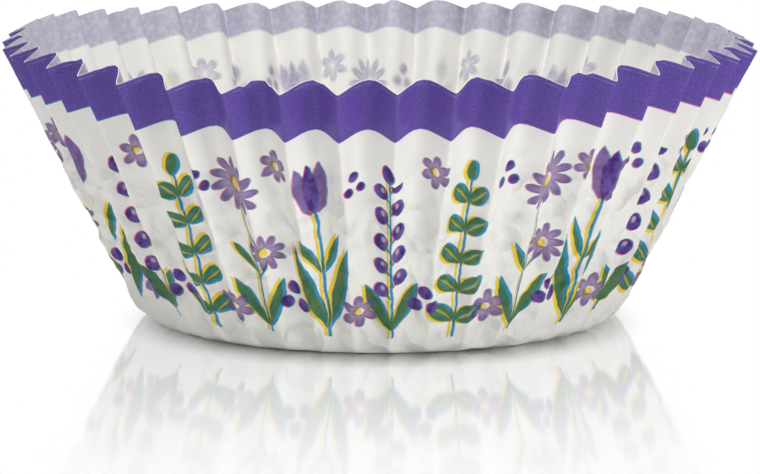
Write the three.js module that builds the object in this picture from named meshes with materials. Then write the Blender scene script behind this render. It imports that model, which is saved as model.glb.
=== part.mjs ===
// A paper baking cup: one disc of greaseproof paper pressed between fluted dies.
// The disc keeps its area. Its middle stays flat as the floor, and the rest is turned up through a
// rounded corner into a wall that leans out. A circle that is drawn on the flat disc is longer than
// the wall is round at that height, and the flutes take up exactly that difference. So they start
// from nothing at the floor and are deepest at the cut edge, and their depth follows from the disc.
// The frame has its origin under the middle of the floor, with +Z up out of the mouth.

import * as THREE from "three";

// Driving dimensions, in millimetres and degrees.
const BLANK_DIAMETER = 114.3; // the flat disc before it is pressed
const FLOOR_DIAMETER = 46.8; // the part of the disc that stays flat
const CORNER_RADIUS = 3; // the bend from floor to wall, half way between ridge and valley
const WALL_LEAN_DEG = 25; // how far the wall leans out from upright
const FLUTE_COUNT = 44;
const PAPER_THICKNESS = 0.08;

// The flutes' section: 1 would be a knife-sharp ridge outside between round valleys, 2 a plain wave.
const RIDGE_FORM_AT_CORNER = 1.15;
const RIDGE_FORM_AT_RIM = 1.5; // the cut edge has sprung back a little, so its ridges are rounder

// Where the section of one flute has its points, as shares of a flute, from ridge to ridge.
const SECTION_SHARES = [0, 0.06, 0.18, 0.33, 0.5, 0.67, 0.82, 0.94];
const CORNER_STEPS = 3;
const WALL_STEPS = 4;

const PAPER_COLOUR = 0xf1efe9;
const PAPER_ROUGHNESS = 0.62;

const lean = THREE.MathUtils.degToRad(WALL_LEAN_DEG);
const cornerTurn = Math.PI / 2 - lean;
const floorRadius = FLOOR_DIAMETER / 2;
const cornerLength = CORNER_RADIUS * cornerTurn;
const blankRadius = BLANK_DIAMETER / 2;
const wallStart = floorRadius + cornerLength;

// The middle line of the paper, cut through the cup's axis. It takes a distance from the middle of
// the flat disc, and gives the radius and height there and the slope of the paper from level.
function middleLine(distance) {
  const along = THREE.MathUtils.clamp(distance - floorRadius, 0, cornerLength);
  const slope = along / CORNER_RADIUS;
  const upWall = Math.max(distance - wallStart, 0);
  const flat = Math.min(distance, floorRadius);
  return {
    radius: flat + CORNER_RADIUS * Math.sin(slope) + upWall * Math.sin(lean),
    height: PAPER_THICKNESS / 2 + CORNER_RADIUS * (1 - Math.cos(slope)) + upWall * Math.cos(lean),
    slope,
  };
}

// The section of a flute at one share of its width: 1 on the ridge outside, -1 in the valley.
function fluteSection(share, distance) {
  const upWall = THREE.MathUtils.clamp((distance - wallStart) / (blankRadius - wallStart), 0, 1);
  const form = THREE.MathUtils.lerp(RIDGE_FORM_AT_CORNER, RIDGE_FORM_AT_RIM, upWall);
  return 1 - 2 * Math.abs(Math.sin(Math.PI * share)) ** form;
}

// A point in the middle of the paper's thickness. The flutes stand square to the middle line.
function paperPoint(flutes, distance, halfDepth) {
  const { radius, height, slope } = middleLine(distance);
  const out = halfDepth * fluteSection(flutes - Math.floor(flutes), distance);
  const turn = (2 * Math.PI * flutes) / FLUTE_COUNT - Math.PI / 2; // the first ridge faces -Y
  const reach = radius + out * Math.sin(slope);
  return new THREE.Vector3(
    reach * Math.cos(turn),
    reach * Math.sin(turn),
    height - out * Math.cos(slope),
  );
}

// How far the paper runs across one flute, from ridge to ridge.
function lengthAcrossFlute(distance, halfDepth) {
  const points = [...SECTION_SHARES, 1].map((share) => paperPoint(share, distance, halfDepth));
  return points.slice(1).reduce((sum, point, i) => sum + point.distanceTo(points[i]), 0);
}

// Half the depth of the flutes at which they hold the whole length of paper that the disc has there.
function halfDepthAt(distance) {
  const paperPerFlute = (2 * Math.PI * distance) / FLUTE_COUNT;
  let shallow = 0;
  let deep = paperPerFlute;
  for (let step = 0; step < 40; step++) {
    const middle = (shallow + deep) / 2;
    if (lengthAcrossFlute(distance, middle) < paperPerFlute) shallow = middle;
    else deep = middle;
  }
  return shallow;
}

// One ring of the paper: its points, and at each the way out through the paper's outer face. That
// way is as long as keeps both faces half a thickness from the middle where the section turns.
function ringAt(distance) {
  const halfDepth = distance > floorRadius ? halfDepthAt(distance) : 0;
  const along = 0.01; // a short step up the paper, for its direction
  const places = [];
  for (let flute = 0; flute < FLUTE_COUNT; flute++)
    places.push(...SECTION_SHARES.map((share) => flute + share));
  const points = places.map((place) => paperPoint(place, distance, halfDepth));
  const faceBetween = (i) => {
    const here = points[(i + points.length) % points.length];
    const next = points[(i + 1) % points.length];
    const place = places[(i + points.length) % points.length];
    const up = paperPoint(place, distance + along, halfDepth)
      .sub(paperPoint(place, distance, halfDepth));
    return next.clone().sub(here).cross(up).normalize();
  };
  const outward = points.map((_, i) => {
    const before = faceBetween(i - 1);
    const after = faceBetween(i);
    const mitre = 1 + before.dot(after);
    return before.add(after).divideScalar(mitre);
  });
  return { points, outward };
}

// The distances on the flat disc at which the paper gets a ring of points, from floor to cut edge.
function ringDistances() {
  const distances = [];
  for (let i = 0; i < CORNER_STEPS; i++)
    distances.push(floorRadius + (cornerLength * i) / CORNER_STEPS);
  for (let i = 0; i <= WALL_STEPS; i++)
    distances.push(wallStart + ((blankRadius - wallStart) * i) / WALL_STEPS);
  return distances;
}

// The whole sheet as one closed solid: its outer face, its inner face and the cut edge between them.
function pressedSheet() {
  const rings = ringDistances().map(ringAt);
  const columns = FLUTE_COUNT * SECTION_SHARES.length;
  const positions = [];
  const indices = [];
  const faceStart = (face) => face * (rings.length * columns + 1);
  const vertex = (face, ring, column) => faceStart(face) + 1 + ring * columns + (column % columns);

  for (const side of [1, -1]) {
    const offset = (side * PAPER_THICKNESS) / 2;
    positions.push(0, 0, PAPER_THICKNESS / 2 - offset);
    for (const { points, outward } of rings)
      points.forEach((point, i) =>
        positions.push(...point.clone().addScaledVector(outward[i], offset).toArray()));
  }

  // Two triangles that wind to face out on the outer side of the sheet, and in on the other.
  const addFace = (face, a, b, c, d) => {
    if (face === 0) indices.push(a, b, c, a, c, d);
    else indices.push(a, c, b, a, d, c);
  };
  for (const face of [0, 1])
    for (let column = 0; column < columns; column++) {
      const [near, far] = [vertex(face, 0, column), vertex(face, 0, column + 1)];
      if (face === 0) indices.push(faceStart(face), far, near);
      else indices.push(faceStart(face), near, far);
      for (let ring = 0; ring < rings.length - 1; ring++)
        addFace(
          face,
          vertex(face, ring, column),
          vertex(face, ring, column + 1),
          vertex(face, ring + 1, column + 1),
          vertex(face, ring + 1, column),
        );
    }
  const edge = rings.length - 1;
  for (let column = 0; column < columns; column++)
    addFace(
      0,
      vertex(0, edge, column),
      vertex(0, edge, column + 1),
      vertex(1, edge, column + 1),
      vertex(1, edge, column),
    );

  const geometry = new THREE.BufferGeometry();
  geometry.setAttribute("position", new THREE.Float32BufferAttribute(positions, 3));
  geometry.setIndex(indices);
  geometry.computeVertexNormals();
  return geometry;
}

const greaseproofPaper = new THREE.MeshStandardMaterial({
  color: PAPER_COLOUR,
  roughness: PAPER_ROUGHNESS,
  metalness: 0,
});

const cup = new THREE.Mesh(pressedSheet(), greaseproofPaper);
cup.name = "paper_baking_cup";

const part = new THREE.Group();
part.add(cup);

export default part;
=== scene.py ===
"""A printed paper baking cup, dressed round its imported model.

The cup is one disc of greaseproof paper. Here it is cut flat, pressed between fluted dies, handled
a little, and printed on its outer face. Lengths are in metres, and the print's are in millimetres
on the flat disc, which the paper's UV map holds.
"""

import logging
import math
from bisect import bisect_right
from dataclasses import dataclass, field
from enum import Enum
from functools import reduce
from typing import Callable, Union

import bmesh
import bpy
from mathutils import Euler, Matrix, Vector, noise


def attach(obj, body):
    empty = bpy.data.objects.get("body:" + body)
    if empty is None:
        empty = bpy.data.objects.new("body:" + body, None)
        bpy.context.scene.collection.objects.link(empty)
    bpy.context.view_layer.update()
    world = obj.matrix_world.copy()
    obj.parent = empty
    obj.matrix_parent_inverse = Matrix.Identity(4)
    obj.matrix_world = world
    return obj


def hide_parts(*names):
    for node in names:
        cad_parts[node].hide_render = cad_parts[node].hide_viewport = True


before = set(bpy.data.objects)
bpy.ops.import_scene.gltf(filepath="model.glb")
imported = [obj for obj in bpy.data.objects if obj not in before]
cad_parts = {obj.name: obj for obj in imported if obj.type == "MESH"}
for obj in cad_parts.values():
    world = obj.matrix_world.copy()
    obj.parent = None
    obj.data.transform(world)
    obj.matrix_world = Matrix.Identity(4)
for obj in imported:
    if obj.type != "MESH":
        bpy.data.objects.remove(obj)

log = logging.getLogger("baking_cup")

MM = 0.001
FRONT = -math.pi / 2
FLAT_MAP = "flat_disc"
CUP_NODE = "paper_baking_cup"

Number = Union[float, "Value"]


class Face(Enum):
    """The faces of the paper, each with its place in the cup's list of materials."""

    OUTSIDE = 0
    INSIDE = 1
    CUT_EDGE = 2


class Overprint(Enum):
    """The colours that the printing inks make on this paper, alone and over each other."""

    CYAN = (0.0, 0.25, 0.44, 1)
    MAGENTA = (0.60, 0.08, 0.26, 1)
    YELLOW = (0.86, 0.62, 0.06, 1)
    VIOLET = (0.128, 0.079, 0.395, 1)
    DEEP_VIOLET = (0.045, 0.012, 0.150, 1)
    GREEN = (0.034, 0.155, 0.078, 1)
    RED = (0.55, 0.06, 0.04, 1)
    ALL = (0.04, 0.03, 0.05, 1)


class Tall(Enum):
    """The tall plants of the print, in the order in which they follow each other round the cup."""

    BERRY_SPRIG = 0
    ROUND_LEAF_TWIG = 1
    DAISY = 2
    TULIP = 3


class Wander(Enum):
    """The smooth wanders of the paper, each with the number that tells it from the others."""

    FLUTE_DEPTH = 1.7
    RUCK = 3.1
    WORN_EDGE = 4.4
    RIDGE_DRIFT = 5.3
    NICK = 6.1
    RUCK_CREASE = 8.7
    EDGE_WAVE = 9.2


def smooth_step(low: float, high: float, value: float) -> float:
    """Rises smoothly from 0 at low to 1 at high.

    Args:
        low: Where the rise starts.
        high: Where it ends.
        value: Where it is read.

    Returns:
        A number from 0 to 1.
    """
    share = min(max((value - low) / (high - low), 0.0), 1.0)
    return share * share * (3 - 2 * share)


def bearing_gap(first: float, second: float) -> float:
    """The turn from the second bearing to the first, in radians from -pi to pi."""
    return math.remainder(first - second, math.tau)


def between(ends: tuple[float, float], share: float) -> float:
    """The number at a share of the way from the first of two ends to the second."""
    return ends[0] + (ends[1] - ends[0]) * share


def place_in_scene(name: str, data: bpy.types.ID) -> bpy.types.Object:
    """Makes an object of a mesh, a lamp or a camera.

    Args:
        name: The object's name.
        data: What it shows.

    Returns:
        The object, in the scene, at the origin.
    """
    made = bpy.data.objects.new(name, data)
    bpy.context.scene.collection.objects.link(made)
    return made


@dataclass
class Blank:
    """The flat disc that the cup is pressed from, as a net of rings and spokes."""

    diameter: float = 114.3 * MM
    floor_diameter: float = 46.8 * MM
    thickness: float = 0.08 * MM
    spokes_per_flute: int = 16
    crowding: float = 0.55  # how much closer the spokes stand at a ridge than half way between
    floor_rings: int = 6
    wall_step: float = 0.6 * MM

    def ring_radii(self) -> list[float]:
        """Spaces the net's rings.

        Returns:
            Their radii, from the middle of the floor to the cut edge.
        """
        floor_radius, edge = self.floor_diameter / 2, self.diameter / 2
        floor = [floor_radius * (i + 1) / self.floor_rings for i in range(self.floor_rings)]
        steps = round((edge - floor_radius) / self.wall_step)
        wall = [floor_radius + (edge - floor_radius) * (i + 1) / steps for i in range(steps)]
        return floor + wall

    def cut(self, flutes: int) -> bmesh.types.BMesh:
        """Cuts the disc, with the print side down.

        Args:
            flutes: How many flutes it will be pressed into.

        Returns:
            The flat net, with its UV map.
        """
        radii = self.ring_radii()
        bm = bmesh.new()
        spokes = flutes * self.spokes_per_flute
        bmesh.ops.create_circle(
            bm, cap_ends=True, cap_tris=True, segments=spokes, radius=radii[0]
        )
        rim = [edge for edge in bm.edges if edge.is_boundary]
        for inner, outer in zip(radii, radii[1:]):
            made = bmesh.ops.extrude_edge_only(bm, edges=rim)["geom"]
            points = [part for part in made if isinstance(part, bmesh.types.BMVert)]
            grow = outer / inner
            bmesh.ops.scale(bm, vec=(grow, grow, 1), verts=points)
            edges = [part for part in made if isinstance(part, bmesh.types.BMEdge)]
            rim = [edge for edge in edges if edge.is_boundary]
        for edge in rim:
            edge.smooth = False
        self._crowd_spokes(bm, flutes)
        self._face_down(bm)
        self._lay_flat_map(bm)
        return bm

    def _crowd_spokes(self, bm: bmesh.types.BMesh, flutes: int) -> None:
        """Turns each spoke towards its nearest ridge, where the paper bends most.

        Args:
            bm: The flat net.
            flutes: How many flutes it will be pressed into.
        """
        for point in bm.verts:
            radius = point.co.xy.length
            bearing = math.atan2(point.co.y, point.co.x)
            share = (bearing - FRONT) * flutes / math.tau
            crowded = share - self.crowding * math.sin(math.tau * share) / math.tau
            turned = FRONT + crowded * math.tau / flutes
            point.co = Vector((radius * math.cos(turned), radius * math.sin(turned), 0))

    def _face_down(self, bm: bmesh.types.BMesh) -> None:
        """Turns every face to look down, where the outer face of the cup will be."""
        bm.normal_update()
        bmesh.ops.reverse_faces(bm, faces=[face for face in bm.faces if face.normal.z > 0])

    def _lay_flat_map(self, bm: bmesh.types.BMesh) -> None:
        """Gives the paper a UV map in which the disc lies flat and fills the square.

        Args:
            bm: The flat net.
        """
        layer = bm.loops.layers.uv.new(FLAT_MAP)
        for face in bm.faces:
            face.smooth = True
            for corner in face.loops:
                corner[layer].uv = corner.vert.co.xy / self.diameter + Vector((0.5, 0.5))


@dataclass
class Sway:
    """A stretch of the wall that stands otherwise than the rest.

    Args:
        bearing_deg: Where its middle is, from the front towards the right.
        spread_deg: How far to each side it reaches.
        lean_deg: How much further out it leans.
        shift_deg: How far its flutes have slid to the right.
        rise: How much higher its cut edge stands, in metres.
    """

    bearing_deg: float
    spread_deg: float
    lean_deg: float = 0.0
    shift_deg: float = 0.0
    rise: float = 0.0

    def share(self, bearing: float) -> float:
        """How much of the sway a bearing has, from 0 to 1."""
        gap = bearing_gap(bearing, FRONT + math.radians(self.bearing_deg))
        return math.exp(-((gap / math.radians(self.spread_deg)) ** 2))


@dataclass
class FlutedDie:
    """The pair of dies that turns the disc up into a wall of flutes.

    A circle on the flat disc is longer than the wall is round at its height, and the flutes are
    as deep as takes up that difference.
    """

    blank: Blank
    count: int = 44
    lean_deg: float = 25.0
    corner_radius: float = 3 * MM
    ridge_form_at_corner: float = 1.15  # 1 is a knife-sharp ridge outside, 2 a plain wave
    ridge_form_at_rim: float = 1.2
    section_steps: int = 32
    halvings: int = 24  # of the span in which a flute's depth is sought

    def __post_init__(self) -> None:
        """Works out the sizes that follow from the others."""
        self.lean = math.radians(self.lean_deg)
        self.floor_radius = self.blank.floor_diameter / 2
        self.corner_length = self.corner_radius * (math.pi / 2 - self.lean)
        self.wall_start = self.floor_radius + self.corner_length
        self.edge = self.blank.diameter / 2

    def up_wall(self, distance: float) -> float:
        """The share of the wall below a distance on the disc, from 0 to 1."""
        share = (distance - self.wall_start) / (self.edge - self.wall_start)
        return min(max(share, 0.0), 1.0)

    def middle_line(self, distance: float, more_lean: float = 0.0) -> tuple[float, float, float]:
        """The middle of the paper, cut through the cup's axis.

        Args:
            distance: From the middle of the flat disc.
            more_lean: How much further out the wall leans here, in radians.

        Returns:
            The radius, the height and the slope of the paper from level.
        """
        along = min(max(distance - self.floor_radius, 0.0), self.corner_length)
        slope = along / self.corner_radius
        up = max(distance - self.wall_start, 0.0)
        lean = self.lean + more_lean
        radius = min(distance, self.floor_radius)
        radius += self.corner_radius * math.sin(slope) + up * math.sin(lean)
        height = self.blank.thickness / 2
        height += self.corner_radius * (1 - math.cos(slope)) + up * math.cos(lean)
        return radius, height, slope - more_lean * self.up_wall(distance)

    def section(self, share: float, distance: float) -> float:
        """The section of a flute.

        Args:
            share: How far across the flute, from ridge to ridge.
            distance: From the middle of the flat disc.

        Returns:
            From 1 on the ridge to -1 in the valley.
        """
        rise = self.ridge_form_at_rim - self.ridge_form_at_corner
        form = self.ridge_form_at_corner + rise * self.up_wall(distance)
        return 1 - 2 * abs(math.sin(math.pi * share)) ** form

    def runs(self, distance: float, half_depth: float) -> list[float]:
        """How far the paper has run across a flute at each step of the section.

        Args:
            distance: From the middle of the flat disc.
            half_depth: Half the depth of the flutes.

        Returns:
            The lengths from one ridge, 0 first, to the next ridge.
        """
        radius, _, slope = self.middle_line(distance)
        lengths = [0.0]
        before = None
        for step in range(self.section_steps + 1):
            share = step / self.section_steps
            out = half_depth * self.section(share, distance)
            reach = radius + out * math.sin(slope)
            turn = math.tau * share / self.count
            here = Vector((reach * math.cos(turn), reach * math.sin(turn), -out * math.cos(slope)))
            if before is not None:
                lengths.append(lengths[-1] + (here - before).length)
            before = here
        return lengths

    def half_depth(self, distance: float) -> float:
        """Finds the depth at which the flutes hold all the paper that the disc has there.

        Args:
            distance: From the middle of the flat disc.

        Returns:
            Half that depth.
        """
        if distance <= self.floor_radius:
            return 0.0
        needed = math.tau * distance / self.count
        shallow, deep = 0.0, needed
        for _ in range(self.halvings):
            middle = (shallow + deep) / 2
            if self.runs(distance, middle)[-1] < needed:
                shallow = middle
            else:
                deep = middle
        return shallow

    def share_at(self, runs: list[float], flat_share: float) -> float:
        """Where a point of the flat disc lands across its flute.

        Args:
            runs: How far the paper has run at each step of the section.
            flat_share: The point's share of the flute's paper.

        Returns:
            The share of the pressed flute's width.
        """
        run = flat_share * runs[-1]
        step = min(max(bisect_right(runs, run) - 1, 0), self.section_steps - 1)
        part = (run - runs[step]) / (runs[step + 1] - runs[step])
        return (step + part) / self.section_steps


@dataclass
class Dent:
    """A small crease that handling has left in the wall.

    Args:
        distance: From the middle of the flat disc to the crease.
        bearing: Where it is round the cup, in radians.
        turn: How far the crease is turned from level, in radians.
        length: Half the length of the crease.
        width: How far the dent reaches below the crease.
        depth: How far the paper is pushed, inwards if positive.
        steep: How far the dent reaches above the crease, as a share of its width.
        reach: How far off it is still felt, as a multiple of its length and width together.
    """

    distance: float
    bearing: float
    turn: float
    length: float
    width: float
    depth: float
    steep: float = 0.35
    reach: float = 3.0

    def push(self, distance: float, bearing: float) -> float:
        """How far a point of the paper is pushed in.

        Args:
            distance: The point's distance from the middle of the flat disc.
            bearing: Its bearing, in radians.

        Returns:
            The push, in metres, inwards if positive.
        """
        up = distance - self.distance
        reach = self.reach * (self.length + self.width)
        if abs(up) > reach:
            return 0.0
        across = bearing_gap(bearing, self.bearing) * distance
        if abs(across) > reach:
            return 0.0
        along = across * math.cos(self.turn) + up * math.sin(self.turn)
        square = up * math.cos(self.turn) - across * math.sin(self.turn)
        ends = math.exp(-((along / self.length) ** 2))
        if square > 0:
            side = math.exp(-((square / (self.steep * self.width)) ** 2))
        else:
            side = math.exp(square / self.width)
        return self.depth * ends * side


@dataclass
class Handling:
    """The small unevenness that paper keeps from the press, the pack and the hand.

    A pair of sizes holds the two ends between which a size is drawn or something fades.
    """

    sways: list[Sway]
    seed: int = 7
    depth_spread: float = 0.12  # as a share of a flute's depth
    depth_run: float = 1.4  # the size of that wander, in flutes
    drift: float = 0.05  # how far a ridge wanders, as a share of a flute
    drift_run: float = 2.2
    flute_radius: float = 34 * MM  # where the width of a flute is taken
    dent_count: int = 420
    dent_distance: tuple = (27 * MM, 49 * MM)
    dent_crowding: float = 1.3  # above 1, more dents lie low on the wall
    dent_turn_deg: tuple = (-60, 60)
    dent_length: tuple = (0.8 * MM, 2.8 * MM)
    dent_width: tuple = (0.45 * MM, 1.1 * MM)
    dent_depth: tuple = (0.07 * MM, 0.33 * MM)
    inward_share: float = 0.6
    ruck: float = 0.34 * MM  # the soft rucks of the lower wall
    ruck_size: float = 3.2 * MM
    ruck_crease: float = 0.7  # the creases between them, as a share of the rucks
    ruck_fade: tuple = (40 * MM, 52 * MM)
    upper_ruck: float = 0.25  # the share that is left above that
    off_floor: tuple = (23 * MM, 28 * MM)
    edge_path: float = 57 * MM  # the circle on which the edge's wanders are read
    edge_wave: float = 0.14 * MM
    edge_wave_size: float = 6 * MM
    edge_wave_fade: tuple = (0.9, 1.0)  # as shares of the wall
    nick: float = 0.65 * MM
    nick_size: float = 0.9 * MM
    nicks_above: float = 0.999  # as a share of the wall
    worn_size: float = 7 * MM  # of the stretches that have nicks
    worn_fade: tuple = (-0.1, 0.15)
    dents: list[Dent] = field(init=False)

    def __post_init__(self) -> None:
        """Spreads the dents over the wall, below the stripe."""
        noise.seed_set(self.seed)
        self.dents = [self._dent() for _ in range(self.dent_count)]

    def _dent(self) -> Dent:
        """Draws one dent.

        Returns:
            The dent.
        """
        strength = noise.random() ** 2
        return Dent(
            distance=between(self.dent_distance, noise.random() ** self.dent_crowding),
            bearing=math.tau * noise.random(),
            turn=math.radians(between(self.dent_turn_deg, noise.random())),
            length=between(self.dent_length, noise.random()),
            width=between(self.dent_width, noise.random()),
            depth=between(self.dent_depth, strength) * self._side(),
        )

    def _side(self) -> int:
        """Draws the side to which a dent goes: 1 inwards or -1 outwards."""
        return 1 if noise.random() < self.inward_share else -1

    def wander(self, distance: float, bearing: float, kind: Wander, size: float) -> float:
        """A smooth wander from about -1 to 1 over the wall, which closes round the cup.

        Args:
            distance: From the middle of the flat disc.
            bearing: The bearing, in radians.
            kind: Which wander.
            size: The size of its features.

        Returns:
            The wander at that point.
        """
        place = Vector((distance * math.cos(bearing), distance * math.sin(bearing), 0)) / size
        return noise.noise(place + Vector((0, 0, kind.value)))

    def edge_wander(self, bearing: float, kind: Wander, size: float) -> float:
        """A wander along the cut edge."""
        return self.wander(self.edge_path, bearing, kind, size)

    def more_lean(self, bearing: float) -> float:
        """How much further out the wall leans at a bearing, in radians."""
        return math.radians(sum(sway.lean_deg * sway.share(bearing) for sway in self.sways))

    def slide(self, bearing: float) -> float:
        """How far the flutes have slid round the cup at a bearing, in radians."""
        return math.radians(sum(sway.shift_deg * sway.share(bearing) for sway in self.sways))

    def lift(self, bearing: float, up_wall: float, is_valley: bool) -> float:
        """How much higher or lower a point of the wall stands than the die left it.

        Args:
            bearing: Its bearing, in radians.
            up_wall: The share of the wall below it.
            is_valley: Whether it is in the inner half of a flute.

        Returns:
            The lift, in metres.
        """
        lift = up_wall * sum(sway.rise * sway.share(bearing) for sway in self.sways)
        wave = self.edge_wave * self.edge_wander(bearing, Wander.EDGE_WAVE, self.edge_wave_size)
        lift += wave * smooth_step(*self.edge_wave_fade, up_wall)
        if is_valley and up_wall > self.nicks_above:
            wear = self.edge_wander(bearing, Wander.WORN_EDGE, self.worn_size)
            nick = self.edge_wander(bearing, Wander.NICK, self.nick_size)
            lift -= self.nick * smooth_step(*self.worn_fade, wear) * max(nick, 0.0)
        return lift

    def push(self, distance: float, bearing: float) -> float:
        """How far rucks and dents push a point in.

        Args:
            distance: The point's distance from the middle of the flat disc.
            bearing: Its bearing, in radians.

        Returns:
            The push, in metres, inwards if positive.
        """
        low_wall = 1 - (1 - self.upper_ruck) * smooth_step(*self.ruck_fade, distance)
        rucks = self.wander(distance, bearing, Wander.RUCK, self.ruck_size)
        creases = self.wander(distance, bearing, Wander.RUCK_CREASE, self.ruck_size / 2)
        rucks = self.ruck * (rucks - self.ruck_crease * abs(creases))
        dents = sum(dent.push(distance, bearing) for dent in self.dents)
        return (rucks * low_wall + dents) * smooth_step(*self.off_floor, distance)


@dataclass
class PaperCup:
    """The cup itself: the blank, the dies that press it and the handling that it has seen."""

    blank: Blank
    die: FlutedDie
    handling: Handling
    loose_above: float = 4 * MM  # above the corner, where the die holds the paper no more
    valley_below: float = -0.4  # in the section's own height
    same_ring: float = 1e-7  # radii that differ by less belong to one ring
    rounding: float = 1e-6  # of a bearing, in flutes

    def build(self) -> bpy.types.Object:
        """Cuts, presses and handles the paper.

        Returns:
            The cup's object, at the origin.
        """
        bm = self.blank.cut(self.die.count)
        self._press(bm)
        mesh = bpy.data.meshes.new("pleated_paper")
        bm.to_mesh(mesh)
        bm.free()
        cup = place_in_scene("pleated_paper", mesh)
        wall = cup.modifiers.new("paper thickness", "SOLIDIFY")
        wall.thickness = self.blank.thickness
        wall.offset = 0
        wall.use_even_offset = True
        wall.material_offset = Face.INSIDE.value
        wall.material_offset_rim = Face.CUT_EDGE.value
        return cup

    def _press(self, bm: bmesh.types.BMesh) -> None:
        """Moves every point of the flat disc to its place in the cup.

        Args:
            bm: The flat net.
        """
        presses: dict[int, tuple[float, list[float]]] = {}
        for point in bm.verts:
            distance = point.co.xy.length
            if distance < self.die.floor_radius - self.same_ring:
                point.co.z = self.blank.thickness / 2
                continue
            ring = round(distance / self.same_ring)
            if ring not in presses:
                depth = self.die.half_depth(distance)
                presses[ring] = depth, self.die.runs(distance, depth)
            depth, runs = presses[ring]
            flutes = (math.atan2(point.co.y, point.co.x) - FRONT) * self.die.count / math.tau
            point.co = self._pressed(distance, flutes, depth, runs)

    def _pressed(
        self, distance: float, flutes: float, depth: float, runs: list[float]
    ) -> Vector:
        """Where one point of the disc lands.

        Args:
            distance: Its distance from the middle of the flat disc.
            flutes: Its bearing on the disc, in flutes from the front.
            depth: Half the depth of the flutes there.
            runs: How far the paper has run across a flute there.

        Returns:
            The point's place in the cup.
        """
        die, handling = self.die, self.handling
        first = math.floor(flutes + self.rounding)
        share = die.share_at(runs, max(flutes - first, 0.0))
        bearing = FRONT + (first + share) * math.tau / die.count
        around = handling.flute_radius
        flute = math.tau * around / die.count
        wander = handling.wander(around, bearing, Wander.FLUTE_DEPTH, handling.depth_run * flute)
        drift = handling.wander(distance, bearing, Wander.RIDGE_DRIFT, handling.drift_run * flute)
        loose = smooth_step(die.floor_radius, die.wall_start + self.loose_above, distance)
        section = die.section(share, distance)
        out = depth * section * (1 + handling.depth_spread * wander * loose)
        out -= handling.push(distance, bearing)
        radius, height, slope = die.middle_line(distance, handling.more_lean(bearing))
        turned = bearing + handling.drift * drift * loose * math.tau / die.count
        turned += handling.slide(bearing) * loose
        reach = radius + out * math.sin(slope)
        lift = handling.lift(bearing, die.up_wall(distance), section < self.valley_below)
        z = max(height - out * math.cos(slope) + lift, self.blank.thickness / 2)
        return Vector((reach * math.cos(turned), reach * math.sin(turned), z))


def node_maths(operation: str, is_reflected: bool = False) -> Callable[..., "Value"]:
    """Makes a method of Value that adds one Math node.

    Args:
        operation: What the node does.
        is_reflected: Whether the other value comes before the method's own.

    Returns:
        The method.
    """

    def method(value: "Value", *others: Number) -> "Value":
        """Adds the node on the value and any others."""
        values = (*others, value) if is_reflected else (value, *others)
        return value.bench.maths(operation, *values)

    return method


class Value:
    """A number from a shader node's socket, so that shader maths reads as Python."""

    __add__ = __radd__ = node_maths("ADD")
    __sub__ = node_maths("SUBTRACT")
    __rsub__ = node_maths("SUBTRACT", is_reflected=True)
    __mul__ = __rmul__ = node_maths("MULTIPLY")
    __truediv__ = node_maths("DIVIDE")
    __pow__ = node_maths("POWER")
    __abs__ = node_maths("ABSOLUTE")
    __floor__ = node_maths("FLOOR")
    cos = node_maths("COSINE")
    most = node_maths("MAXIMUM")
    remainder = node_maths("FLOORED_MODULO")

    def __init__(self, bench: "Bench", socket: bpy.types.NodeSocket) -> None:
        """Wraps a socket of a bench's material."""
        self.bench = bench
        self.socket = socket

    def is_near(self, other: float) -> "Value":
        """1 where it is within a half of another number, else 0."""
        return self.bench.maths("COMPARE", self, other, 0.5)

    def rise(self, low: float, high: float) -> "Value":
        """Rises smoothly from 0 at low to 1 at high.

        Args:
            low: Where the rise starts.
            high: Where it ends. If it is the smaller one, the rise is a fall.

        Returns:
            The number from 0 to 1.
        """
        falls = low > high
        node = self.bench.add(
            "ShaderNodeMapRange",
            {"interpolation_type": "SMOOTHSTEP"},
            {
                "Value": self,
                "From Min": min(low, high),
                "From Max": max(low, high),
                "To Min": 1.0 if falls else 0.0,
                "To Max": 0.0 if falls else 1.0,
            },
        )
        return Value(self.bench, node.outputs["Result"])


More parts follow.
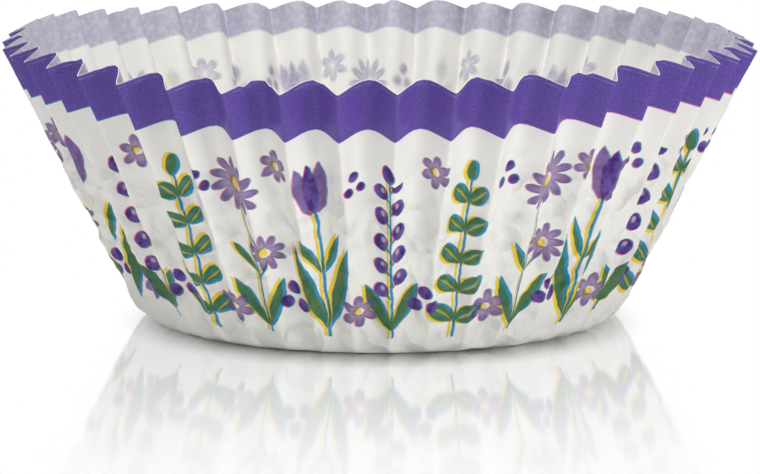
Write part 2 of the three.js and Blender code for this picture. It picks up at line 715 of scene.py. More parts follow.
class Bench:
    """A material or a world, and the nodes that are laid out on it."""

    def __init__(self, owner: Union[bpy.types.Material, bpy.types.World]) -> None:
        """Starts with no nodes.

        Args:
            owner: The material or the world.
        """
        self.owner = owner
        owner.use_nodes = True
        self.tree = owner.node_tree
        self.tree.nodes.clear()

    def add(
        self, kind: str, settings: dict | None = None, inputs: dict | None = None
    ) -> bpy.types.Node:
        """Adds one node.

        Args:
            kind: The node's type.
            settings: What the node is set to, such as its operation.
            inputs: Values or links for its sockets, by name, identifier or number.

        Returns:
            The node.
        """
        node = self.tree.nodes.new(kind)
        for name, value in (settings or {}).items():
            setattr(node, name, value)
        for key, value in (inputs or {}).items():
            socket = self._socket(node, key)
            if isinstance(value, Value):
                value = value.socket
            if isinstance(value, bpy.types.NodeSocket):
                self.tree.links.new(value, socket)
            else:
                socket.default_value = value
        return node

    @staticmethod
    def _socket(node: bpy.types.Node, key: Union[str, int]) -> bpy.types.NodeSocket:
        """Finds a node's input.

        Args:
            node: The node.
            key: The input's number, identifier or name.

        Returns:
            The input.
        """
        if isinstance(key, int):
            return node.inputs[key]
        for socket in node.inputs:
            if socket.identifier == key:
                return socket
        return node.inputs[key]

    def maths(self, operation: str, *values: Number) -> Value:
        """Adds one Math node.

        Args:
            operation: What it does.
            values: What it does it to.

        Returns:
            Its result.
        """
        node = self.add("ShaderNodeMath", {"operation": operation}, dict(enumerate(values)))
        return Value(self, node.outputs["Value"])

    def vector_maths(
        self, operation: str, *values: object, output: str = "Vector"
    ) -> bpy.types.NodeSocket:
        """Adds one Vector Math node.

        Args:
            operation: What it does.
            values: What it does it to.
            output: Which output is wanted.

        Returns:
            That output's socket.
        """
        node = self.add("ShaderNodeVectorMath", {"operation": operation}, dict(enumerate(values)))
        return node.outputs[output]

    def length(self, vector: bpy.types.NodeSocket) -> Value:
        """How long a vector is."""
        return Value(self, self.vector_maths("LENGTH", vector, output="Value"))

    def distance(self, first: object, second: object) -> Value:
        """How far one place is from another."""
        return Value(self, self.vector_maths("DISTANCE", first, second, output="Value"))

    def parts(self, vector: bpy.types.NodeSocket) -> list[Value]:
        """The x, y and z of a vector."""
        node = self.add("ShaderNodeSeparateXYZ", None, {"Vector": vector})
        return [Value(self, socket) for socket in node.outputs]

    def blend(
        self, factor: Number, first: object, second: object, way: str = "MIX"
    ) -> bpy.types.NodeSocket:
        """Mixes two colours.

        Args:
            factor: How much of the second shows.
            first: The colour below.
            second: The colour above.
            way: How they mix.

        Returns:
            The colour's socket.
        """
        node = self.add(
            "ShaderNodeMix",
            {"data_type": "RGBA", "blend_type": way, "clamp_factor": True},
            {"Factor_Float": factor, "A_Color": first, "B_Color": second},
        )
        return next(socket for socket in node.outputs if socket.identifier == "Result_Color")

    def grains(self, place: object, size: float, detail: float) -> bpy.types.Node:
        """Adds a Noise Texture.

        Args:
            place: Where it is read.
            size: The size of its features, in the place's unit.
            detail: How many finer layers it has.

        Returns:
            The node.
        """
        return self.add(
            "ShaderNodeTexNoise",
            {"noise_dimensions": "3D"},
            {"Vector": place, "Scale": 1 / size, "Detail": detail},
        )

    def grain(self, place: object, size: float, detail: float) -> Value:
        """A soft grain, from 0 to 1."""
        return Value(self, self.grains(place, size, detail).outputs["Fac"])


@dataclass(frozen=True)
class Spot:
    """A place on the flat disc as one plate sees it: across and up a motif, in millimetres."""

    across: Value
    up: Value

    def moved(self, across: float, up: float) -> "Spot":
        """The same place, seen from a point of the motif."""
        return Spot(self.across - across, self.up - up)

    def mirrored(self) -> "Spot":
        """The same place, with the left half folded over the right."""
        return Spot(abs(self.across), self.up)


@dataclass(frozen=True)
class Brush:
    """How shapes are painted: their edges' softness and the shapes themselves."""

    bench: Bench
    softness: float = 0.07

    def _seen(
        self, spot: Spot, centre: tuple, half: tuple, turn_deg: float
    ) -> bpy.types.NodeSocket:
        """The place as a shape sees it: turned with it and in its half sizes.

        Args:
            spot: The place on the motif.
            centre: The shape's centre.
            half: Its half width and half length.
            turn_deg: How far its length is turned to the right.

        Returns:
            The place as a vector, with the shape's edge about 1 from its middle.
        """
        place = self.bench.add("ShaderNodeCombineXYZ", None, {"X": spot.across, "Y": spot.up})
        mapping = self.bench.add(
            "ShaderNodeMapping",
            {"vector_type": "TEXTURE"},
            {
                "Vector": place.outputs["Vector"],
                "Location": (centre[0], centre[1], 0),
                "Rotation": (0, 0, math.radians(-turn_deg)),
                "Scale": (half[0], half[1], 1),
            },
        )
        return mapping.outputs["Vector"]

    def _filled(self, away: Value, half: tuple) -> Value:
        """Fills a shape up to 1 away from its middle, with a soft edge."""
        soft = self.softness / min(half)
        return away.rise(1 + soft, 1 - soft)

    def oval(self, spot: Spot, centre: tuple, half: tuple, turn_deg: float = 0.0) -> Value:
        """How much of an oval covers the place. Its sizes are as in _seen."""
        return self._filled(self.bench.length(self._seen(spot, centre, half, turn_deg)), half)

    def leaf(self, spot: Spot, centre: tuple, half: tuple, turn_deg: float = 0.0) -> Value:
        """How much of a leaf with a point at each end covers the place."""
        across, up, _ = self.bench.parts(self._seen(spot, centre, half, turn_deg))
        return self._filled(abs(across) + up * up, half)

    def line(self, spot: Spot, half_width: float, low: float, high: float) -> Value:
        """Paints a thin upright line.

        Args:
            spot: The place on the motif.
            half_width: Half the line's width.
            low: Where it starts.
            high: Where it ends.

        Returns:
            How much of it covers the place.
        """
        soft = self.softness
        body = abs(spot.across).rise(half_width + soft, half_width - soft)
        return body * spot.up.rise(low - soft, low + soft) * spot.up.rise(high + soft, high - soft)

    def blossom(self, spot: Spot, centre: tuple, radius: float, petals: int) -> Value:
        """Paints an open flower from the front, deeper at its heart and at its petals' tips.

        Args:
            spot: The place on the motif.
            centre: The flower's centre.
            radius: How far its petals reach.
            petals: How many it has.

        Returns:
            How much of it covers the place.
        """
        notch, roundness = 0.36, 0.6  # how far out the gaps between petals start, and their form
        pale, at_tips, at_heart = 0.52, 0.26, 0.48
        tips, heart = (0.35, 0.95), (0.42, 0.16)  # the shares of a petal over which each deepens
        seen = spot.moved(*centre)
        turn = self.bench.maths("ARCTAN2", seen.across, seen.up)
        away = (seen.across * seen.across + seen.up * seen.up) ** 0.5
        reach = abs((turn * (petals / 2)).cos()) ** roundness * (1 - notch) + notch
        share = away / (reach * radius)
        soft = self.softness / radius
        wash = pale + share.rise(*tips) * at_tips + share.rise(*heart) * at_heart
        return share.rise(1 + soft, 1 - soft) * wash


@dataclass(frozen=True)
class BotanicalPrint:
    """The print on the flat disc.

    Below a stripe at the edge stand tall plants of four kinds in turn, with small motifs between.
    """

    disc: float = Blank.diameter / MM
    plants: int = 28
    foot: float = 28.4  # how far from the middle the stems start
    bend: float = 1.6  # how far to a side a stem leans at most
    bend_from: float = 28.0
    bend_over: float = 21.0
    stripe_radius: float = 52.7
    centre: tuple = (0.0, 1.2)  # the disc was cut a little off the middle of the print
    wobble: float = 0.55  # how far a painted edge wanders
    wobble_size: float = 2.0

    def polar(self, bench: Bench, plate_shift: float) -> tuple[Value, Value]:
        """The place on the disc from the middle of the print, as one plate sees it.

        Args:
            bench: The material that is printed.
            plate_shift: How far the plate is off to the right.

        Returns:
            The distance in millimetres and the bearing in radians from the front.
        """
        size = (self.disc, self.disc, 0)
        off = (-self.centre[0] - plate_shift - self.disc / 2, -self.centre[1] - self.disc / 2, 0)
        place = bench.vector_maths("MULTIPLY_ADD", self._flat_map(bench), size, off)
        wander = bench.grains(place, self.wobble_size, 2.0).outputs["Color"]
        wander = bench.vector_maths("SUBTRACT", wander, (0.5, 0.5, 0.5))
        painted = bench.vector_maths("MULTIPLY_ADD", wander, (self.wobble,) * 3, place)
        x, y, _ = bench.parts(painted)
        return bench.length(painted), bench.maths("ARCTAN2", x, 0 - y)

    @staticmethod
    def _flat_map(bench: Bench) -> bpy.types.NodeSocket:
        """The place on the flat disc, as shares of its diameter."""
        return bench.add("ShaderNodeUVMap", {"uv_map": FLAT_MAP}).outputs["UV"]

    def stripe(self, bench: Bench, plate_shift: float, softness: float) -> Value:
        """The plain stripe along the cut edge.

        Args:
            bench: The material that is printed.
            plate_shift: How far the plate is off to the right.
            softness: How far its lower edge is blurred to each side.

        Returns:
            How much of it covers the place.
        """
        away = self.from_middle(bench, (self.centre[0] + plate_shift, self.centre[1]))
        return away.rise(self.stripe_radius - softness, self.stripe_radius + softness)

    def from_middle(self, bench: Bench, middle: tuple = (0.0, 0.0)) -> Value:
        """How far a place on the disc is from a point near its middle, in millimetres."""
        point = (middle[0] / self.disc + 0.5, middle[1] / self.disc + 0.5, 0)
        return bench.distance(self._flat_map(bench), point) * self.disc


@dataclass(frozen=True)
class Cover:
    """How much of each paint covers a place. None is none at all."""

    violet: Value | None = None
    green: Value | None = None
    yellow: Value | None = None

    def times(self, share: Value) -> "Cover":
        """The same cover where a share is 1, and none where it is 0."""
        paints = (self.violet, self.green, self.yellow)
        return Cover(*(None if paint is None else paint * share for paint in paints))

    @staticmethod
    def all_of(covers: list["Cover"]) -> "Cover":
        """Lays covers over each other.

        Args:
            covers: The covers.

        Returns:
            The most of each paint.
        """
        paints = []
        for name in ("violet", "green", "yellow"):
            found = [getattr(cover, name) for cover in covers if getattr(cover, name) is not None]
            paints.append(reduce(Value.most, found) if found else None)
        return Cover(*paints)


@dataclass(frozen=True)
class Motifs:
    """The plants as one plate or the paper's back sees them.

    A shape's centre is given across its motif and out from the middle of the disc, in millimetres.
    """

    design: BotanicalPrint
    brush: Brush
    distance: Value
    bearing: Value

    def _cell(self, offset: float) -> tuple[Value, Spot]:
        """Which repeat of the print a place is in, and where it is in it.

        Args:
            offset: How far the repeats are turned, as a share of one.

        Returns:
            The repeat's number and the place from its middle line.
        """
        pitch = math.tau / self.design.plants
        turned = self.bearing / pitch + (self.design.plants + 0.5 - offset)
        number = math.floor(turned)
        across = (turned - number - 0.5) * pitch * self.distance
        return number, Spot(across, self.distance)

    def _bent(self, spot: Spot, number: Value) -> Spot:
        """Bends a motif a little to one side.

        Args:
            spot: The place on the motif.
            number: The number of the repeat, which sets how far and to which side.

        Returns:
            The place as the bent motif sees it.
        """
        bench, design = self.brush.bench, self.design
        chance = bench.add("ShaderNodeTexWhiteNoise", {"noise_dimensions": "1D"}, {"W": number})
        side = Value(bench, chance.outputs["Value"]) * (2 * design.bend) - design.bend
        rise = (spot.up - design.bend_from) / design.bend_over
        return Spot(spot.across - side * rise * rise, spot.up)

    def plants(self) -> Cover:
        """Paints all the plants."""
        return Cover.all_of([self.tall_plants(), self.small_flowers()])

    def tall_plants(self) -> Cover:
        """Paints the tall plants.

        Returns:
            How much of each paint covers the place.
        """
        number, straight = self._cell(0.0)
        spot = self._bent(straight, number)
        kind = number.remainder(len(Tall))
        painters = {
            Tall.BERRY_SPRIG: self._berry_sprig,
            Tall.ROUND_LEAF_TWIG: self._round_leaf_twig,
            Tall.DAISY: self._daisy,
            Tall.TULIP: self._tulip,
        }
        covers = [paint(spot).times(kind.is_near(tall.value)) for tall, paint in painters.items()]
        return Cover.all_of(covers)

    def _berry_sprig(self, spot: Spot) -> Cover:
        """A stem with round berries, left and right in turn, and two leaves at its foot.

        Args:
            spot: The place on the motif.

        Returns:
            How much of each paint covers it.
        """
        brush = self.brush
        first, pitch, tip = 34.2, 2.9, 47.4
        is_left = spot.across.rise(0.001, -0.001)
        up = spot.up - first + is_left * (pitch / 2)
        place = Spot(abs(spot.across), up.remainder(pitch))
        in_row = up.rise(-0.02, 0.0) * spot.up.rise(tip, tip - 0.05)
        berries = brush.oval(place, (1.15, 1.6), (0.88, 0.95)) * in_row
        shine = brush.oval(place, (1.0, 1.9), (0.30, 0.34)) * in_row
        stalks = brush.leaf(place, (0.4, 1.0), (0.16, 0.8), 42) * in_row
        top = brush.oval(spot, (0, tip + 1.0), (0.85, 1.0))
        leaves = brush.leaf(spot.mirrored(), (1.5, 32.0), (0.85, 3.2), 30)
        stem = brush.line(spot, 0.15, self.design.foot, tip + 0.2)
        return Cover(berries.most(top) * (1 - shine * 0.55), leaves.most(stem).most(stalks))

    def _round_leaf_twig(self, spot: Spot) -> Cover:
        """A stem with round leaves in pairs.

        Args:
            spot: The place on the motif.

        Returns:
            How much of each paint covers it.
        """
        brush = self.brush
        first, pitch, pairs = 29.4, 3.5, 5
        step = (spot.up - first) / pitch
        in_pairs = step.rise(-0.01, 0.0) * step.rise(pairs + 0.01, pairs)
        taper = 1.25 - step * 0.09
        place = Spot(abs(spot.across) / taper, (spot.up - first).remainder(pitch))
        leaves = brush.oval(place, (1.25, 1.75), (0.88, 1.5), 48) * in_pairs
        veins = brush.leaf(place, (1.2, 1.7), (0.12, 1.3), 48) * in_pairs
        stem = brush.line(spot, 0.14, self.design.foot - 0.2, first + pairs * pitch)
        end = brush.oval(spot, (0, first + pairs * pitch + 0.9), (0.7, 1.25))
        return Cover(None, (leaves * (1 - veins * 0.45)).most(stem).most(end))

    def _daisy(self, spot: Spot) -> Cover:
        """A daisy with a smaller one beside it, and its leaves.

        Args:
            spot: The place on the motif.

        Returns:
            How much of each paint covers it.
        """
        brush = self.brush
        high, beside = (0, 46.3), (1.9, 38.6)
        head = brush.blossom(spot, high, 3.3, 11)
        low = brush.blossom(spot, beside, 2.2, 9)
        eye = brush.oval(spot, high, (0.85, 0.8)).most(brush.oval(spot, beside, (0.6, 0.55)))
        leaves = brush.leaf(spot.mirrored(), (1.5, 32.1), (0.7, 3.4), 26)
        leaves = leaves.most(brush.leaf(spot, (-1.2, 37.4), (0.5, 2.2), -34))
        stem = brush.line(spot, 0.15, self.design.foot, 44.2)
        stem = stem.most(brush.leaf(spot, (0.9, 36.3), (0.17, 1.9), 38))
        return Cover(head.most(low) * (1 - eye), leaves.most(stem), eye)

    def _tulip(self, spot: Spot) -> Cover:
        """A tulip with two long leaves.

        Args:
            spot: The place on the motif.

        Returns:
            How much of each paint covers it.
        """
        brush = self.brush
        folded = spot.mirrored()
        outer = brush.leaf(folded, (0.95, 46.1), (0.95, 3.0), 10)
        bowl = brush.oval(spot, (0, 44.9), (1.5, 1.6))
        inner = brush.leaf(spot, (0, 46.0), (0.85, 2.9))
        leaves = brush.leaf(folded, (1.75, 34.4), (0.85, 5.4), 17)
        leaves = leaves.most(brush.leaf(folded, (1.2, 38.4), (0.45, 2.6), 24))
        stem = brush.line(spot, 0.17, self.design.foot, 43.6)
        return Cover((outer.most(bowl) * 0.8).most(inner), leaves.most(stem))

    def small_flowers(self) -> Cover:
        """Paints the small motifs between the plants, high and low.

        Returns:
            How much of each paint covers the place.
        """
        brush = self.brush
        number, spot = self._cell(0.5)
        is_odd = number.remainder(2).is_near(1)
        high = brush.blossom(spot, (0, 48.4), 1.9, 6)
        eye = brush.oval(spot, (0, 48.4), (0.45, 0.45))
        low = brush.oval(spot.mirrored(), (0.95, 32.2), (0.72, 0.76))
        low = low.most(brush.oval(spot, (0, 33.9), (0.72, 0.76)))
        even = Cover((high * (1 - eye)).most(low), None, eye)
        high = brush.oval(spot.mirrored(), (0.8, 46.4), (0.55, 0.6))
        high = high.most(brush.oval(spot, (0, 48.0), (0.6, 0.62)))
        low = brush.blossom(spot, (0, 31.6), 2.0, 6)
        eye = brush.oval(spot, (0, 31.6), (0.5, 0.45))
        odd = Cover(high.most(low * (1 - eye)), None, eye)
        return Cover.all_of([even.times(1 - is_odd), odd.times(is_odd)])


@dataclass(frozen=True)
class GreaseproofPaper:
    """The bare paper: a warm white, with fine fibres and a soft sheen."""

    colour: tuple = (0.86, 0.85, 0.815, 1)
    roughness: float = 0.45
    sheen_level: float = 0.16
    fibre: float = 0.35 * MM
    fibre_height: float = 0.010 * MM
    ruck: float = 1.8 * MM
    ruck_height: float = 0.42 * MM
    crease: float = 4.6 * MM
    crease_height: float = 2.7 * MM
    smooth_above: float = 25 * MM
    crumpled_below: float = 14 * MM

    def place(self, bench: Bench) -> bpy.types.NodeSocket:
        """The place on the cup, in metres."""
        return bench.add("ShaderNodeTexCoord").outputs["Object"]

    def bumps(self, bench: Bench, crumpled: float) -> bpy.types.NodeSocket:
        """The fine relief of the paper.

        Args:
            bench: The material.
            crumpled: How strong the crumples of the lower wall are.

        Returns:
            The normal's socket.
        """
        place = self.place(bench)
        _, _, up = bench.parts(place)
        low = up.rise(self.smooth_above, self.crumpled_below) * crumpled
        fibres = bench.grain(place, self.fibre, 3.0)
        rucks = bench.grain(place, self.ruck, 2.0)
        creases = abs(bench.grain(place, self.crease, 1.0) - 0.5)
        crumples = rucks * self.ruck_height - creases * self.crease_height
        height = fibres * self.fibre_height + crumples * low
        relief = {"Height": height, "Distance": 1.0, "Strength": 1.0}
        return bench.add("ShaderNodeBump", None, relief).outputs["Normal"]

    def finish(self, bench: Bench, colour: object, crumpled: float = 0.0) -> bpy.types.Material:
        """Ends a material of this paper.

        Args:
            bench: The material.
            colour: Its colour, or the socket that gives it.
            crumpled: How strong the crumples of the lower wall are.

        Returns:
            The material.
        """
        shader = bench.add(
            "ShaderNodeBsdfPrincipled",
            None,
            {
                "Base Color": colour,
                "Roughness": self.roughness,
                "Specular IOR Level": self.sheen_level,
                "Normal": self.bumps(bench, crumpled),
            },
        )
        bench.add("ShaderNodeOutputMaterial", None, {"Surface": shader.outputs["BSDF"]})
        return bench.owner


@dataclass(frozen=True)
class OutsidePrint:
    """The printed outer face. The plates are off to the right by their shifts, in millimetres."""

    paper: GreaseproofPaper
    design: BotanicalPrint
    cyan_shift: float = 0.15
    yellow_shift: float = -0.27
    stripe_blur: float = 0.06
    wash_size: float = 1.1 * MM  # of the patches in which the paint has pooled
    wash_range: tuple = (0.34, 0.66)  # of the grain, from a thin patch to a pooled one
    speckle_size: float = 0.16 * MM
    speckle_range: tuple = (0.2, 0.8)
    plant_cover: float = 0.92  # the least that a plant's inks cover
    more_by_wash: float = 0.05
    more_by_speckle: float = 0.03
    stripe_cover: float = 0.93  # the least that the stripe's inks cover, which speckles fill up
    deep_plants: float = 0.2  # the least deep violet in a plant
    deeper_by_wash: float = 0.75
    speckle_middle: float = 0.2  # below it a speckle leaves the stripe as it is
    deeper_by_speckle: float = 0.45
    heart_cover: float = 0.9  # of yellow, in the hearts of the flowers
    # The print is worn paler along the cut edge. The faint line just below it is a painted
    # highlight along a slight fold of the edge, in the same pale colour.
    worn_and_highlight_colour: tuple = (0.50, 0.46, 0.64, 1)
    rim_wear: tuple = (0.2, 0.6)  # the least and the most
    fold_highlight_strength: float = 0.35
    worn_rim: tuple = (0.14, 0.05)  # from the cut edge to where the wear starts and is full
    fold_highlight_place: tuple = (0.52, 0.44, 0.42, 0.34)  # to the painted fold highlight's start, full part and end

    def _plants(self, bench: Bench, shift: float) -> Cover:
        """What a plate has of the plants, if it is off to the right by a shift."""
        distance, bearing = self.design.polar(bench, shift)
        return Motifs(self.design, Brush(bench), distance, bearing).plants()

    def _overprinted(
        self, bench: Bench, violet: object, cyan: Value, magenta: Value, yellow: Value
    ) -> bpy.types.NodeSocket:
        """The colour that the inks make where they lie over each other.

        Args:
            bench: The material.
            violet: The colour that cyan and magenta make together here.
            cyan: The cover of cyan.
            magenta: The cover of magenta.
            yellow: The cover of yellow.

        Returns:
            The colour's socket.
        """
        without = bench.blend(
            magenta,
            bench.blend(cyan, self.paper.colour, Overprint.CYAN.value),
            bench.blend(cyan, Overprint.MAGENTA.value, violet),
        )
        with_yellow = bench.blend(
            magenta,
            bench.blend(cyan, Overprint.YELLOW.value, Overprint.GREEN.value),
            bench.blend(cyan, Overprint.RED.value, Overprint.ALL.value),
        )
        return bench.blend(yellow, without, with_yellow)

    def _worn_edge_and_fold_highlight(
        self, bench: Bench, colour: bpy.types.NodeSocket, chance: Value
    ) -> bpy.types.NodeSocket:
        """Rubs the print off along the cut edge, and paints a faint highlight line just below it,
        where the edge is slightly folded.

        Args:
            bench: The material.
            colour: The colour of the print.
            chance: A grain that breaks the lines up.

        Returns:
            The colour's socket.
        """
        edge = self.design.disc / 2
        away = self.design.from_middle(bench)
        start, full = (edge - inset for inset in self.worn_rim)
        least, most = self.rim_wear
        rim = away.rise(start, full) * (least + chance * (most - least))
        # painted highlight: a faint paler line along a slight fold just below the cut edge
        start, full, fade, end = (edge - inset for inset in self.fold_highlight_place)
        line = away.rise(start, full) * away.rise(end, fade)
        return bench.blend(rim.most(line * chance * self.fold_highlight_strength), colour, self.worn_and_highlight_colour)

    def material(self) -> bpy.types.Material:
        """Makes the material.

        Returns:
            The outer face's material.
        """
        bench = Bench(bpy.data.materials.new("printed_paper_outside"))
        place = self.paper.place(bench)
        wash = bench.grain(place, self.wash_size, 2.0).rise(*self.wash_range)
        speckle = bench.grain(place, self.speckle_size, 1.0).rise(*self.speckle_range)
        density = self.plant_cover + wash * self.more_by_wash + speckle * self.more_by_speckle
        solid = self.stripe_cover + speckle * (1 - self.stripe_cover)
        plants = self._plants(bench, self.cyan_shift)
        stripe = self.design.stripe(bench, self.cyan_shift, self.stripe_blur)
        cyan = (plants.violet.most(plants.green) * density).most(stripe * solid)
        plants = self._plants(bench, 0.0)
        stripe = self.design.stripe(bench, 0.0, self.stripe_blur)
        magenta = (plants.violet * density).most(stripe * solid)
        deep = (wash * self.deeper_by_wash + self.deep_plants) * (1 - stripe)
        deep = deep + (speckle - self.speckle_middle) * stripe * self.deeper_by_speckle
        violet = bench.blend(deep, Overprint.VIOLET.value, Overprint.DEEP_VIOLET.value)
        plants = self._plants(bench, self.yellow_shift)
        yellow = (plants.green * (1 - magenta)).most(plants.yellow * self.heart_cover)
        colour = self._overprinted(bench, violet, cyan, magenta, yellow)
        return self.paper.finish(bench, self._worn_edge_and_fold_highlight(bench, colour, wash), crumpled=1.0)


@dataclass(frozen=True)
class InsideGhost:
    """The bare inner face, through which the print shows as a pale, soft ghost."""

    paper: GreaseproofPaper
    design: BotanicalPrint
    stripe_tint: tuple = (0.58, 0.56, 0.73, 1)
    violet_tint: tuple = (0.46, 0.43, 0.62, 1)
    green_tint: tuple = (0.74, 0.77, 0.74, 1)
    blur: float = 0.4
    stripe_blur: float = 0.2
    cloud_size: float = 0.6 * MM  # of the paper's patches of more and less fibre
    cloud_range: tuple = (0.25, 0.7)  # of the grain, from less fibre to more
    least_show: float = 0.68
    more_by_cloud: float = 0.38
    crumpled: float = 0.25

    def material(self) -> bpy.types.Material:
        """Makes the material.

        Returns:
            The inner face's material.
        """
        bench = Bench(bpy.data.materials.new("printed_paper_inside"))
        distance, bearing = self.design.polar(bench, 0.0)
        plants = Motifs(self.design, Brush(bench, self.blur), distance, bearing).plants()
        cloud = bench.grain(self.paper.place(bench), self.cloud_size, 3.0)
        show = cloud.rise(*self.cloud_range) * self.more_by_cloud + self.least_show
        colour = bench.blend(plants.green * show, self.paper.colour, self.green_tint, "MULTIPLY")
        colour = bench.blend(plants.violet * show, colour, self.violet_tint, "MULTIPLY")
        stripe = self.design.stripe(bench, 0.0, self.stripe_blur)
        colour = bench.blend(stripe * show, colour, self.stripe_tint, "MULTIPLY")
        return self.paper.finish(bench, colour, self.crumpled)


@dataclass(frozen=True)
class BareEdge:
    """The cut edge, where the paper is bare."""

    paper: GreaseproofPaper

    def material(self) -> bpy.types.Material:
        """Makes the cut edge's material."""
        bench = Bench(bpy.data.materials.new("cut_paper_edge"))
        return self.paper.finish(bench, self.paper.colour)


@dataclass
class Lamp:
    """A soft box."""

    name: str
    bearing_deg: float  # from the front towards the right
    elevation_deg: float
    size: float
    watts: float
    distance: float = 0.7

    def hang(self, target: Vector) -> None:
        """Hangs the lamp.

        Args:
            target: What it points at.
        """
        bearing = FRONT + math.radians(self.bearing_deg)
        elevation = math.radians(self.elevation_deg)
        level = math.cos(elevation)
        way = Vector((math.cos(bearing) * level, math.sin(bearing) * level, math.sin(elevation)))
        data = bpy.data.lights.new(self.name, "AREA")
        data.shape = "SQUARE"
        data.size = self.size
        data.energy = self.watts
        lamp = place_in_scene(self.name, data)
        lamp.location = target + way * self.distance
        lamp.rotation_euler = way.to_track_quat("Z", "Y").to_euler()


@dataclass
class Studio:
    """A white table that mirrors the cup faintly, soft lamps and a white room."""

    lamps: list[Lamp]
    aim_height: float = 0.015  # of the point at which the lamps aim
    room_light: float = 0.03
    table_size: float = 3.0
    bounce_colour: tuple = (0.94, 0.94, 0.93, 1)  # to the light that the table throws back
    mirror_share: float = 0.52
    mirror_roughness: float = 0.08
    mirror_from: float = 0.010  # from the middle of the cup, where the mirror starts to fade
    mirror_to: float = 0.110
    shade_shift: tuple = (0.0, -0.0045, 0.0)  # the shade lies towards the front
    shade_from: float = 0.0190  # from its middle, where the shade starts to fade
    shade_to: float = 0.0290
    shade_colour: tuple = (0.25, 0.248, 0.243, 1)  # to the camera, itself or in a mirror

    def build(self) -> bpy.types.Object:
        """Lays the table, hangs the lamps and lights the room.

        Returns:
            The table's object.
        """
        self._light_room()
        for lamp in self.lamps:
            lamp.hang(Vector((0, 0, self.aim_height)))
        bm = bmesh.new()
        bmesh.ops.create_grid(bm, x_segments=1, y_segments=1, size=self.table_size / 2)
        mesh = bpy.data.meshes.new("table")
        bm.to_mesh(mesh)
        bm.free()
        mesh.materials.append(self._table_top())
        return place_in_scene("table", mesh)

    @staticmethod
    def _seen(bench: Bench) -> Value:
        """1 for what the camera sees, itself or in a mirror, else 0."""
        path = bench.add("ShaderNodeLightPath").outputs
        return Value(bench, path["Is Camera Ray"]).most(Value(bench, path["Is Glossy Ray"]))

    def _light_room(self) -> None:
        """Makes the room white to the camera and in reflections, and dimmer as a light."""
        world = bpy.data.worlds.new("white_room")
        world.use_nodes = True
        bpy.context.scene.world = world
        bench = Bench(world)
        strength = self._seen(bench) * (1 - self.room_light) + self.room_light
        white = {"Color": (1, 1, 1, 1), "Strength": strength}
        background = bench.add("ShaderNodeBackground", None, white)
        bench.add("ShaderNodeOutputWorld", None, {"Surface": background.outputs["Background"]})

    def _table_top(self) -> bpy.types.Material:
        """Makes a white table top.

        Returns:
            A material that shows shade and a faint mirror image close to the cup only.
        """
        bench = Bench(bpy.data.materials.new("white_table_top"))
        place = bench.add("ShaderNodeTexCoord").outputs["Object"]
        from_shade = bench.distance(place, self.shade_shift)
        seen = self._seen(bench)
        clear = from_shade.rise(self.shade_from, self.shade_to) * seen
        colour = bench.blend(seen, self.bounce_colour, self.shade_colour)
        plain = bench.add("ShaderNodeBsdfDiffuse", None, {"Color": colour})
        white = bench.add("ShaderNodeEmission", None, {"Strength": 1.0})
        top = self._layered(bench, clear, plain.outputs["BSDF"], white.outputs["Emission"])
        gloss = {"Color": (1, 1, 1, 1), "Roughness": self.mirror_roughness}
        mirror = bench.add("ShaderNodeBsdfGlossy", None, gloss)
        share = bench.length(place).rise(self.mirror_to, self.mirror_from) * self.mirror_share
        both = self._layered(bench, share, top, mirror.outputs["BSDF"])
        bench.add("ShaderNodeOutputMaterial", None, {"Surface": both})
        return bench.owner

    @staticmethod
    def _layered(
        bench: Bench, share: Value, first: bpy.types.NodeSocket, second: bpy.types.NodeSocket
    ) -> bpy.types.NodeSocket:
        """Mixes two shaders by the second's share."""
        return bench.add("ShaderNodeMixShader", None, {0: share, 1: first, 2: second}).outputs[0]


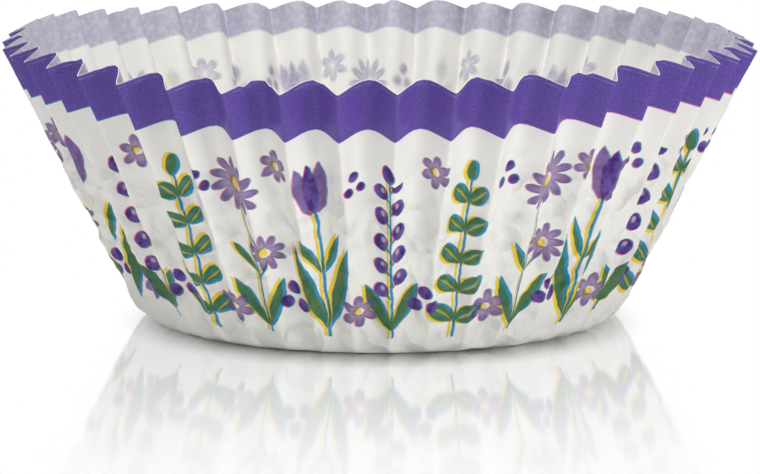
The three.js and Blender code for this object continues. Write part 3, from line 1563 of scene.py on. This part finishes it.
@dataclass
class Viewpoint:
    """Where the camera stands, as the photograph was taken."""

    bearing_deg: float = -2.27  # from the front towards the right
    distance: float = 430.8 * MM
    height: float = 78.3 * MM
    down_deg: float = 9.25
    lens: float = 192.2
    sensor: float = 36.0

    def set_up(self) -> bpy.types.Object:
        """Places the camera and makes it the scene's.

        Returns:
            The camera.
        """
        data = bpy.data.cameras.new("camera")
        data.lens = self.lens
        data.sensor_width = self.sensor
        data.sensor_fit = "HORIZONTAL"
        data.clip_start, data.clip_end = 0.01, 10.0
        camera = place_in_scene("camera", data)
        bearing = FRONT + math.radians(self.bearing_deg)
        camera.location = (
            self.distance * math.cos(bearing),
            self.distance * math.sin(bearing),
            self.height,
        )
        tilt = math.radians(90 - self.down_deg)
        camera.rotation_euler = Euler((tilt, 0, math.radians(self.bearing_deg)), "XYZ")
        bpy.context.scene.camera = camera
        return camera


def main() -> None:
    """Builds the cup and the studio round it."""
    logging.basicConfig(level=logging.INFO, format="%(name)s: %(message)s")
    bpy.context.scene.view_settings.view_transform = "Standard"
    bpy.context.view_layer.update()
    Viewpoint().set_up()

    blank = Blank()
    die = FlutedDie(blank)
    handling = Handling(
        sways=[
            Sway(bearing_deg=-108, spread_deg=26, rise=1.15 * MM),
            Sway(bearing_deg=-60, spread_deg=25, shift_deg=-2.2),
            Sway(bearing_deg=-62, spread_deg=18, rise=0.4 * MM),
            Sway(bearing_deg=-30, spread_deg=20, lean_deg=1.0),
            Sway(bearing_deg=50, spread_deg=24, lean_deg=-2.0),
            Sway(bearing_deg=56, spread_deg=28, shift_deg=2.6),
            Sway(bearing_deg=118, spread_deg=22, rise=0.68 * MM),
        ]
    )
    cup = PaperCup(blank, die, handling).build()
    paper = GreaseproofPaper()
    design = BotanicalPrint()
    finishes = (OutsidePrint(paper, design), InsideGhost(paper, design), BareEdge(paper))
    for finish in finishes:
        cup.data.materials.append(finish.material())
    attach(cup, "root")
    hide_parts(CUP_NODE)
    log.info("%s: %d points before its thickness", cup.name, len(cup.data.vertices))

    studio = Studio(
        lamps=[
            Lamp("key_softbox", bearing_deg=43, elevation_deg=8, size=0.25, watts=1.65),
            Lamp("side_softbox", bearing_deg=80, elevation_deg=10, size=0.25, watts=0.25),
            Lamp("fill_softbox", bearing_deg=-50, elevation_deg=12, size=0.45, watts=0.24),
            Lamp("top_softbox", bearing_deg=-45, elevation_deg=76, size=0.5, watts=5.3),
        ]
    )
    studio.build()
    log.info("studio: a table and %d lamps", len(studio.lamps))


if __name__ == "__main__":
    main()
